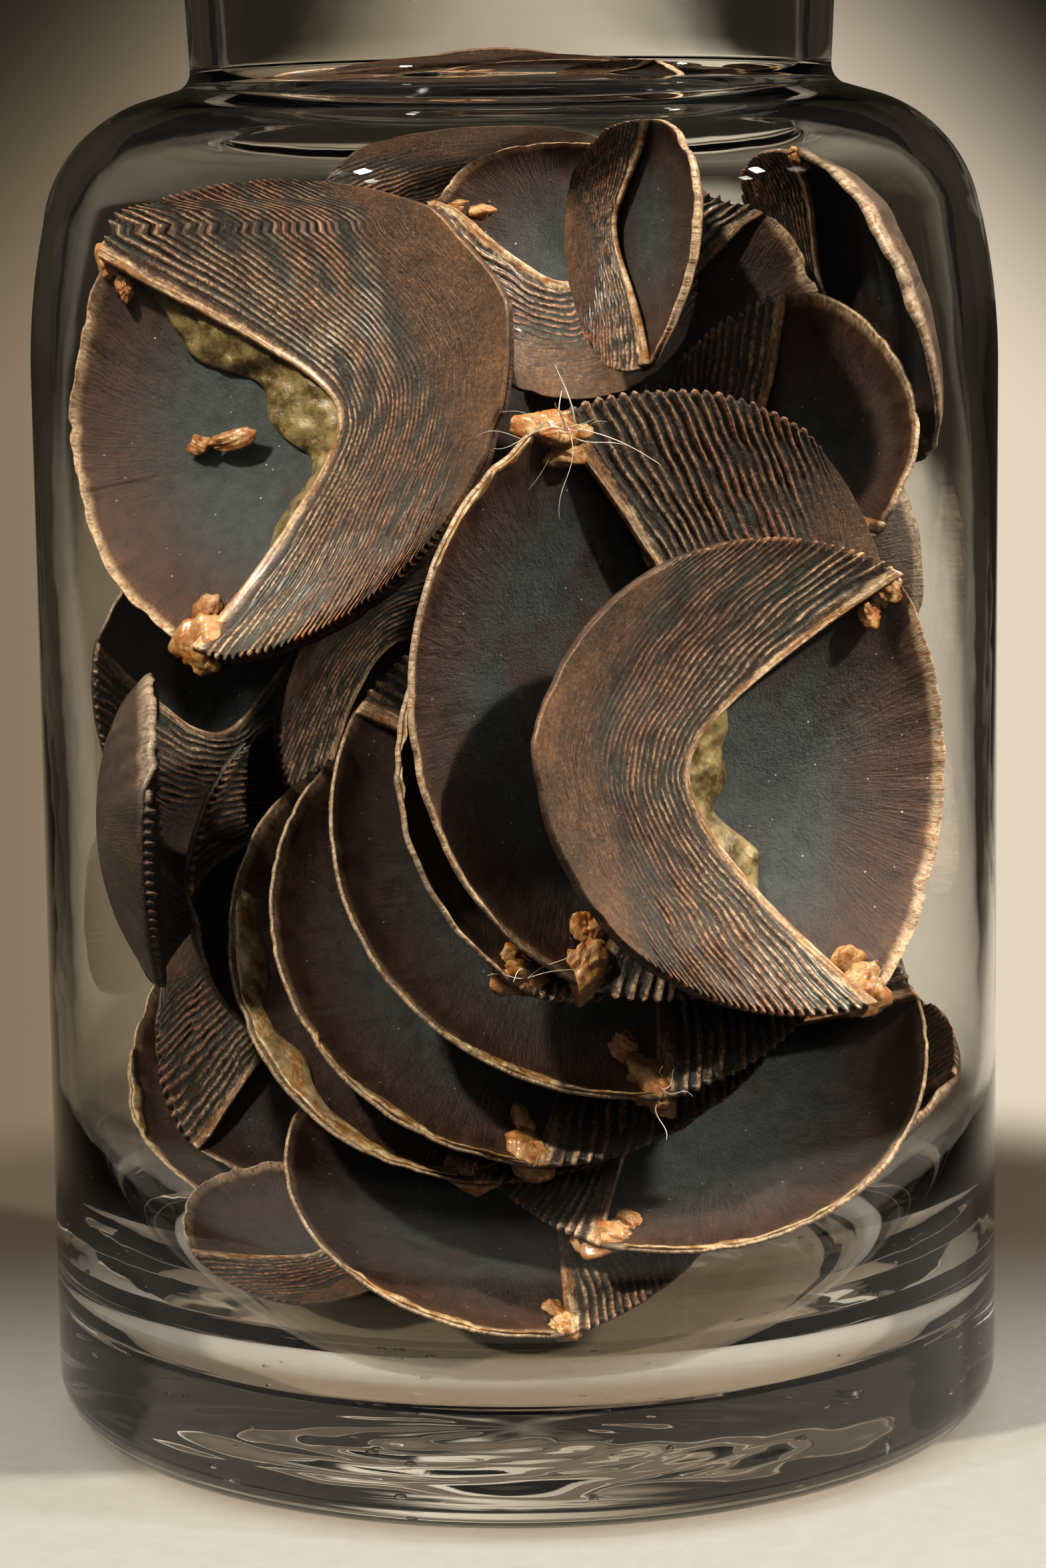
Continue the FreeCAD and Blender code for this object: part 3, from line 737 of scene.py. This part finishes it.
def lining_colour(n, f):
    """The inner face of the back wall: brown near the rim, with a painted bluish slate sheen inwards, and
    rays, scuffs and dust.
    """
    patches = n.math("ADD", f.cloud, n.times(f.tone, 0.2))
    # painted sheen: bluish slate patches inwards from the rim stand in for a reflection on the glossy lining
    painted_blue_sheen = n.times(n.step(f.rim, 4.0, 20.0), n.step(patches, 0.40, 0.66))
    lining = n.mix(painted_blue_sheen, rgb(0.040, 0.020, 0.013), rgb(0.036, 0.050, 0.052))
    lining = n.mix(n.times(n.step(f.rays, 0.5, 0.75), 0.16), lining, rgb(0.10, 0.075, 0.060))
    scuffs = n.times(n.step(n.noise(f.own, 0.8, 8.0, 0.8), 0.60, 0.72), 0.30)
    lining = n.mix(scuffs, lining, rgb(0.22, 0.20, 0.18))
    dust = n.node("TexVoronoi", {"Vector": f.own, "Scale": 0.42, "Randomness": 1.0}, output="Distance")
    return n.mix(n.times(n.math("LESS_THAN", dust, 0.055), 0.8), lining, rgb(0.55, 0.53, 0.50))


def back_colour(n, f):
    """The back wall: brown and speckled outside, lined inside, with a torn pale rim along the open base."""
    outside = n.mix(n.step(f.cloud, 0.35, 0.7), rgb(0.075, 0.046, 0.029), rgb(0.13, 0.095, 0.070))
    outside = n.mix(n.times(n.step(f.speck, 0.58, 0.70), 0.4), outside, rgb(0.26, 0.19, 0.14))
    back = n.mix(f.inside, outside, lining_colour(n, f))
    torn = n.math("ADD", f.rim, n.times(n.math("SUBTRACT", f.grain, 0.5), 1.6))
    edge_share = n.times(n.rest(n.step(torn, 0.55, 1.55)), f.lip)
    edge = n.mix(n.step(f.grain, 0.36, 0.58), rgb(0.32, 0.175, 0.075), rgb(0.70, 0.60, 0.45))
    back = n.mix(edge_share, back, edge)
    warm = n.times(n.rest(n.step(f.rim, 1.0, 3.6)), n.times(f.lip, 0.22))
    back = n.mix(warm, back, rgb(0.20, 0.105, 0.050))
    uneven = n.mix(n.step(f.mottle, 0.34, 0.66), rgb(0.62, 0.60, 0.60), rgb(1.32, 1.26, 1.22))
    return n.mix(1.0, back, uneven, "MULTIPLY")


def horn_material():
    """Dried horn: ridged brown flap with partly painted shade and highlight on its ridges, smooth margin,
    brown lining with a painted slate sheen and fine rays, pale rim.
    """
    n = Nodes("dried_horn")
    f = HornFields(n)
    colour = n.mix(f.flap, back_colour(n, f), flap_colour(n, f))
    shade = n.mix(f.tone, rgb(0.62, 0.62, 0.64), rgb(1.30, 1.22, 1.14))
    colour = n.mix(1.0, colour, shade, "MULTIPLY")

    ray_height = n.times(f.rays, n.rest(n.times(n.step(f.rim, 3.0, 18.0), 0.75)))
    fine = n.mix(f.flap, n.place(ray_height), n.place(f.streak))
    height = n.node("SeparateColor", {0: fine})
    normal = n.bump(height, 0.55, 0.0005)
    normal = n.bump(f.grain, 0.75, 0.0004, normal)
    near_rim = n.rest(n.step(f.rim, 1.5, 6.0))
    rough = n.math("SUBTRACT", n.span(f.mottle, 0.42, 0.64), n.times(near_rim, 0.13))
    rough = n.math("ADD", rough, n.times(f.flap, 0.04))
    coat = n.math("ADD", n.times(f.flap, 0.12), n.times(near_rim, 0.16))
    shader = n.node("BsdfPrincipled", {
        "Base Color": colour, "Roughness": rough, "Normal": normal, "IOR": 1.54,
        "Coat Weight": coat, "Coat Roughness": 0.24, "Specular IOR Level": 0.36,
        "Subsurface Weight": 0.10, "Subsurface Radius": (1.0, 0.45, 0.2), "Subsurface Scale": 0.0015})
    return n.finish(shader)


def tissue_material(name, dark, light):
    """Dried amber tissue with pale cartilage."""
    n = Nodes(name)
    where = n.node("TexCoord", output="Object")
    patch = n.noise(where, 420.0, 5.0, 0.65)
    fold = n.noise(where, 1300.0, 5.0, 0.7)
    colour = n.mix(n.step(patch, 0.40, 0.62), rgb(*dark), rgb(*light))
    colour = n.mix(n.times(n.step(fold, 0.54, 0.70), 0.4), colour, rgb(0.62, 0.48, 0.33))
    shader = n.node("BsdfPrincipled", {
        "Base Color": colour, "Roughness": n.span(fold, 0.22, 0.5),
        "Normal": n.bump(fold, 0.6, 0.0005), "Coat Weight": 0.35, "Coat Roughness": 0.2, "IOR": 1.5,
        "Subsurface Weight": 0.2, "Subsurface Radius": (1.0, 0.45, 0.12), "Subsurface Scale": 0.002})
    return n.finish(shader)


def membrane_material():
    """Thin yellow-olive lining left in the pockets."""
    n = Nodes("dry_membrane")
    where = n.node("TexCoord", output="Object")
    patch = n.noise(where, 300.0, 5.0, 0.6)
    fine = n.noise(where, 1500.0, 4.0, 0.7)
    colour = n.mix(n.step(patch, 0.38, 0.62), rgb(0.095, 0.062, 0.018), rgb(0.36, 0.27, 0.12))
    colour = n.mix(n.times(n.step(fine, 0.5, 0.7), 0.35), colour, rgb(0.55, 0.46, 0.30))
    shader = n.node("BsdfPrincipled", {
        "Base Color": colour, "Roughness": 0.28, "Normal": n.bump(fine, 0.5, 0.0004), "Coat Weight": 0.5,
        "Subsurface Weight": 0.3, "Subsurface Radius": (1.0, 0.8, 0.3), "Subsurface Scale": 0.002})
    return n.finish(shader)


def fibre_material():
    """Pale dry fibres, some darker than others."""
    n = Nodes("pale_fibre")
    where = n.node("TexCoord", output="Object")
    tint = n.noise(where, 700.0, 2.0)
    colour = n.mix(tint, rgb(0.55, 0.45, 0.32), rgb(0.85, 0.82, 0.76))
    return n.finish(n.node("BsdfPrincipled", {"Base Color": colour, "Roughness": 0.45}))


def glass_material(name, tint, rough_low, rough_high):
    """Clear glass that lets lamps through, with faint smears in its polish."""
    n = Nodes(name)
    where = n.node("TexCoord", output="Object")
    smear = n.noise(where, 38.0, 4.0, 0.6)
    rough = n.node("MapRange", {0: smear, 1: 0.35, 2: 0.75, 3: rough_low, 4: rough_high})
    glass = n.node("BsdfPrincipled", {
        "Base Color": rgb(*tint), "Roughness": rough, "IOR": 1.5, "Transmission Weight": 1.0,
        "Normal": n.bump(n.noise(where, 55.0, 2.0), 0.10, 0.0006)})
    clear = n.node("BsdfTransparent", {"Color": rgb(0.93, 0.93, 0.91)})
    shadow = n.node("LightPath", output="Is Shadow Ray")
    mixed = n.node("MixShader", {0: shadow, 1: glass, 2: clear})
    return n.finish(mixed)


def seal_material():
    """Milky soft plastic with a fine matt grain."""
    n = Nodes("soft_seal")
    where = n.node("TexCoord", output="Object")
    cloud = n.noise(where, 90.0, 4.0)
    grain = n.noise(where, 1800.0, 3.0)
    colour = n.mix(cloud, rgb(0.55, 0.53, 0.47), rgb(0.72, 0.71, 0.66))
    return n.finish(n.node("BsdfPrincipled", {
        "Base Color": colour, "Roughness": n.span(cloud, 0.45, 0.62),
        "Normal": n.bump(grain, 0.25, 0.0002), "Subsurface Weight": 0.4,
        "Subsurface Radius": (1.0, 0.95, 0.85), "Subsurface Scale": 0.002}))


# ---- build the pieces

def add_jar():
    look = glass_material("jar_glass", (0.97, 0.975, 0.965), 0.0, 0.03)
    surface = Surface()
    surface.add(*turned(filled_in(rounded(JAR), 2.6), 256, ripple=glass_ripple))
    glass_seeds(surface)
    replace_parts(surface.piece("jar_glass_body", look, "jar", "jar_glass"), "jar_body")


def add_lid():
    look = glass_material("lid_glass", (0.965, 0.975, 0.965), 0.0, 0.04)
    surface = Surface()
    surface.add(*turned(filled_in(rounded(LID), 3.0), 192))
    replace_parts(surface.piece("lid_glass_body", look, "lid", "lid_glass"), "lid")


def add_ring():
    surface = Surface()
    surface.add(*turned(rounded(RING), 192, closed=True))
    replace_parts(surface.piece("seal_ring_soft", seal_material(), "ring", "seal"), "seal_ring")


# How light the scales nearest the viewer are, from dark 0 to pale 1. The others draw theirs.
SEEN_TONES = {
    1: 1.0, 2: 0.8, 3: 0.45, 4: 0.35, 5: 0.5, 6: 0.5, 7: 0.5, 8: 0.6, 9: 0.65, 11: 0.6,
    18: 0.1, 19: 0.0, 20: 0.1,
}


def add_scales(horns):
    look = horn_material()
    tones = np.random.default_rng(5).uniform(0, 0.8, len(horns))
    for horn, drawn in zip(horns, tones):
        tone = SEEN_TONES.get(horn.number, drawn)
        around, rows, columns = mesh_detail(horn.number)
        shell = Surface()
        points, quads, tris, fields = back_wall(horn, around)
        shell.add(horn.world(points), quads, tris, tone=tone, **fields)
        points, quads, fields = flap_wall(horn, rows, columns)
        shell.add(horn.world(points), quads, tone=tone, **fields)
        piece = shell.piece("horn_%02d" % horn.number, look, "jar", "horn")
        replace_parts(piece, "scale_%02d" % horn.number)


# Tissue at the corners: scale number and corner (1 is +Y), then size along X, Y and Z.
TISSUE = {
    (1, 1): (6.0, 5.5, 2.6), (1, -1): (3.4, 4.0, 1.8), (2, 1): (4.5, 4.6, 2.2), (2, -1): (5.0, 5.0, 2.4),
    (3, -1): (7.5, 4.2, 2.8), (3, 1): (4.6, 6.0, 2.6), (4, 1): (7.5, 4.2, 2.8), (5, 1): (4.2, 7.0, 3.0),
    (6, 1): (3.6, 6.2, 2.6), (7, 1): (4.6, 5.4, 2.6), (8, 1): (3.2, 4.0, 2.2), (9, -1): (5.6, 5.4, 2.6),
    (10, -1): (4.6, 4.2, 2.6), (11, 1): (4.2, 3.6, 2.2), (12, -1): (4.6, 4.8, 2.6), (13, 1): (2.6, 3.0, 1.6),
    (15, 1): (3.0, 5.0, 1.8), (22, 1): (3.4, 4.2, 2.0),
}
# Each lump is two clumps: their shares of the size, and how far in from the corner they sit.
CLUMPS = ((0.66, 0.45), (0.42, 1.25))
# Two crumbs stuck to the lining of the first scale: place, size and seed.
CRUMBS = (((10.5, -1.5, -4.6), (3.4, 1.5, 1.2), 77), ((6.0, -2.6, -3.9), (1.8, 1.7, 1.3), 78))


def add_tissue(horns):
    surface = Surface()
    for (number, corner), size in TISSUE.items():
        horn = horns[number - 1]
        size = np.array(size)
        for part, (share, shift) in enumerate(CLUMPS):
            x, y = 1.0 + part * 1.5, corner * (horn.half - size[1] * shift)
            z = (horn.back(x, y) + horn.flap(x, y)) / 2 - part * 0.6
            seed = number * 31 + corner * 7 + part
            clump(surface, horn.world(np.array([x, y, z])), size * share, horn.turn, seed)
    curl = horns[0]
    for place, size, seed in CRUMBS:
        clump(surface, curl.world(np.array(place)), np.array(size), curl.turn, seed)
    look = tissue_material("dried_tissue", (0.35, 0.120, 0.018), (0.52, 0.31, 0.13))
    surface.piece("tissue_clumps", look, "jar", "horn")


# Ribbons of dried skin along the rim: scale number, start and end as shares of the open rim from the
# -Y corner, and width.
RIBBONS = (
    (7, 0.22, 0.97, 6.5), (6, 0.55, 0.98, 1.8), (5, 0.62, 0.99, 1.6), (3, 0.06, 0.30, 1.5),
    (8, 0.5, 0.97, 1.6), (9, 0.05, 0.55, 1.7), (11, 0.4, 0.95, 1.7), (4, 0.05, 0.5, 1.4),
)


def add_ribbons(horns):
    surface = Surface()
    for number, start, end, width in RIBBONS:
        rim_ribbon(surface, horns[number - 1], start, end, width)
    look = tissue_material("dried_skin", (0.33, 0.165, 0.05), (0.58, 0.45, 0.27))
    surface.piece("rim_ribbons", look, "jar", "horn")


# Membranes in the mouths: scale number, start and end across the mouth, where along it the membrane
# is widest, width and dip.
MEMBRANES = (
    (1, -0.93, 0.72, 0.52, 12.0, 3.4), (2, -0.90, 0.34, 0.70, 10.0, 3.2), (3, -0.5, 0.2, 0.5, 3.0, 1.2),
)


def add_membranes(horns):
    surface = Surface()
    for number, start, end, peak, width, dip in MEMBRANES:
        mouth_membrane(surface, horns[number - 1], start, end, peak, width, dip)
    surface.piece("mouth_membranes", membrane_material(), "jar", "horn")


# Fibres at the corners: scale number, corner (1 is +Y), how many, and the longest.
FIBRES = (
    (3, -1, 12, 15), (5, 1, 4, 8), (4, 1, 5, 9), (12, -1, 7, 9), (7, 1, 6, 7), (1, 1, 3, 6), (2, -1, 3, 6),
)


def add_fibres(horns):
    surface = Surface()
    draw = np.random.default_rng(11)
    for number, corner, count, longest in FIBRES:
        horn = horns[number - 1]
        root = horn.world(np.array([1.0, corner * (horn.half - 2), horn.back(0, horn.half) - 1.5]))
        for i in range(count):
            heading = draw.normal(0, 1, 3) * (1, 0.35, 1) + (0, -0.35, 0)
            start = root + draw.normal(0, 0.8, 3)
            length = draw.uniform(0.35, 1) * longest
            bend, radius = draw.uniform(0.1, 0.35), draw.uniform(0.06, 0.13)
            strand(surface, start, heading, length, bend, radius, 500 + number * 20 + i)
    surface.piece("loose_fibres", fibre_material(), "jar", "horn")


add_jar()
add_lid()
add_ring()
all_horns = [Horn(number, sizes, angles) for number, (sizes, angles) in enumerate(SCALES, 1)]
add_scales(all_horns)
add_tissue(all_horns)
add_ribbons(all_horns)
add_membranes(all_horns)
add_fibres(all_horns)


# ---- stage, light and camera

CAMERA_AWAY, CAMERA_UP, CAMERA_DOWN, CAMERA_ROLL = 0.581, 0.175, 8.05, 0.76
SENSOR, LENS, LENS_SHIFT = 36, 91.11, 0.0019
TABLE_RADIUS, TABLE_DROP = 4.0, 0.0003
CARD_AWAY, CARD_HALF_WIDTH, CARD_LOW, CARD_HIGH = 2.2, 1.4, -1.0, 1.2
# From the camera to the middle of the lamps' circle.
LAMP_CENTRE = 0.6
# Area lamps that travel with the camera: azimuth and elevation from the view's middle, distance,
# size and power.
KEY_LAMPS = {"key_left": (-38, 41, 0.9, 0.04, 8.5), "key_right": (62, 39, 0.9, 0.04, 10.5)}
SOFT_LAMPS = {"fill_front": (-8, 22, 1.3, 0.4, 1.5), "top_soft": (0, 80, 0.9, 0.4, 0.9)}
LAMP_COLOUR = (1, 0.94, 0.86)
ROOM_COLOUR = (0.012, 0.011, 0.010, 1)


def add_camera():
    data = bpy.data.cameras.new("camera")
    data.sensor_width, data.lens, data.shift_x = SENSOR, LENS, LENS_SHIFT
    data.clip_start, data.clip_end = 0.02, 60
    item = bpy.data.objects.new("camera", data)
    bpy.context.scene.collection.objects.link(item)
    place = Matrix.Translation((0, -CAMERA_AWAY, CAMERA_UP))
    look_down = Matrix.Rotation(math.radians(90 - CAMERA_DOWN), 4, "X")
    item.matrix_world = place @ look_down @ Matrix.Rotation(math.radians(-CAMERA_ROLL), 4, "Z")
    bpy.context.scene.camera = item
    return item


def stage_piece(name, points, material):
    mesh = bpy.data.meshes.new(name)
    mesh.from_pydata(points, [], [list(range(len(points)))])
    mesh.materials.append(material)
    item = bpy.data.objects.new(name, mesh)
    bpy.context.scene.collection.objects.link(item)
    return item


def screen_place(n):
    """Where a point falls in the picture, as slopes right and up from the view's middle, and its depth."""
    seen = n.node("TexCoord", output="Camera")
    x = n.node("SeparateXYZ", {0: seen})
    y, z = x.node.outputs[1], x.node.outputs[2]
    depth = n.math("ABSOLUTE", z)
    return n.math("DIVIDE", x, depth), n.math("DIVIDE", y, depth), z


def backdrop_colour(n, right, up):
    """A warm plain card with painted light: a painted pool of light brighter to the right, and painted shade
    falling to near black in the upper corners and towards the far sides.
    """
    # painted light: the card is brighter to the right
    colour = n.mix(n.step(right, -0.15, 0.12), rgb(0.195, 0.152, 0.100), rgb(0.56, 0.485, 0.385))
    corner = n.math("ADD", n.math("ABSOLUTE", right), up)
    # painted shade: near black in the upper corners
    colour = n.mix(n.step(corner, 0.215, 0.335), colour, rgb(0.026, 0.022, 0.015))
    # painted shade: dark towards the far sides
    return n.mix(n.step(n.math("ABSOLUTE", right), 0.17, 0.34), colour, rgb(0.035, 0.028, 0.020))


def floor_material():
    """Pale paper round the jar, dark in front of it, with a painted shadow under the jar and a painted
    shadow just behind it, running into the glowing backdrop colours.
    """
    n = Nodes("pale_table")
    where = n.node("TexCoord", output="Object")
    grain = n.noise(where, 260.0, 5.0, 0.6)
    right, up, depth = screen_place(n)
    colour = n.mix(grain, rgb(0.270, 0.258, 0.235), rgb(0.325, 0.312, 0.290))
    reach = n.node("VectorMath", {0: where}, output="Value", operation="LENGTH")
    # painted shadow: the paper under the jar is darkened to brown
    colour = n.mix(n.step(reach, 0.058, 0.073), rgb(0.135, 0.105, 0.075), colour)
    # painted shadow: a dark stretch over the table's far part, just behind the jar
    painted_far_shadow = n.math("SUBTRACT", n.step(depth, 0.585, 0.70), n.step(depth, 0.80, 0.90))
    colour = n.mix(painted_far_shadow, colour, rgb(0.075, 0.058, 0.040))
    colour = n.mix(n.step(depth, 0.46, 0.50), rgb(0.02, 0.018, 0.015), colour)
    paper = n.node("BsdfPrincipled", {
        "Base Color": colour, "Roughness": 0.8, "Normal": n.bump(grain, 0.3, 0.0005)})
    glow = n.node("Emission", {
        "Color": backdrop_colour(n, right, up), "Strength": n.step(depth, 0.46, 0.60)})
    return n.finish(n.node("MixShader", {0: n.step(reach, 0.165, 0.225), 1: paper, 2: glow}))


def backdrop_material():
    """A card that gives off its own light, coloured with the backdrop's painted light and shade."""
    n = Nodes("backdrop")
    right, up, depth = screen_place(n)
    return n.finish(n.node("Emission", {"Color": backdrop_colour(n, right, up), "Strength": 1.0}))


def add_stage(camera):
    """A round table top, and a card that stays behind the jar wherever the camera goes."""
    angles = np.linspace(0, 2 * math.pi, 97)[:-1]
    edge = [(TABLE_RADIUS * math.cos(a), TABLE_RADIUS * math.sin(a), -TABLE_DROP) for a in angles]
    stage_piece("table", edge, floor_material())
    left, right = -CARD_HALF_WIDTH, CARD_HALF_WIDTH
    corners = [(left, CARD_LOW, 0), (right, CARD_LOW, 0), (right, CARD_HIGH, 0), (left, CARD_HIGH, 0)]
    card = stage_piece("backdrop", corners, backdrop_material())
    card.parent = camera
    card.location = (0, 0, -CARD_AWAY)


def add_lamp(camera, name, azimuth, elevation, distance, size, power):
    """A square lamp that travels with the camera and faces the jar."""
    data = bpy.data.lights.new(name, "AREA")
    data.size, data.energy, data.color = size, power, LAMP_COLOUR
    item = bpy.data.objects.new(name, data)
    bpy.context.scene.collection.objects.link(item)
    a, e = math.radians(azimuth), math.radians(elevation)
    away = Vector((math.sin(a) * math.cos(e), math.sin(e), math.cos(a) * math.cos(e)))
    item.parent = camera
    item.location = Vector((0, 0, -LAMP_CENTRE)) + away * distance
    item.rotation_mode = "QUATERNION"
    item.rotation_quaternion = away.to_track_quat("Z", "Y")
    return item


def add_lamps(camera):
    """Two small keys for the glints, and two soft lamps that the glass doesn't mirror."""
    for name, settings in KEY_LAMPS.items():
        add_lamp(camera, name, *settings)
    for name, settings in SOFT_LAMPS.items():
        soft = add_lamp(camera, name, *settings)
        soft.visible_glossy = False
        soft.visible_transmission = False


def set_room_and_view():
    """A near-black room, plain colours with more contrast, and enough bounces for thick glass."""
    scene = bpy.context.scene
    scene.world = bpy.data.worlds.new("studio")
    scene.world.use_nodes = True
    scene.world.node_tree.nodes["Background"].inputs[0].default_value = ROOM_COLOUR
    scene.view_settings.view_transform = "Standard"
    scene.view_settings.look = "Medium High Contrast"
    scene.view_settings.exposure = 0.25
    scene.cycles.max_bounces = 20
    scene.cycles.transmission_bounces = 16
    scene.cycles.transparent_max_bounces = 24
    scene.cycles.caustics_refractive = False
    scene.cycles.caustics_reflective = False


view_camera = add_camera()
add_stage(view_camera)
add_lamps(view_camera)
set_room_and_view()
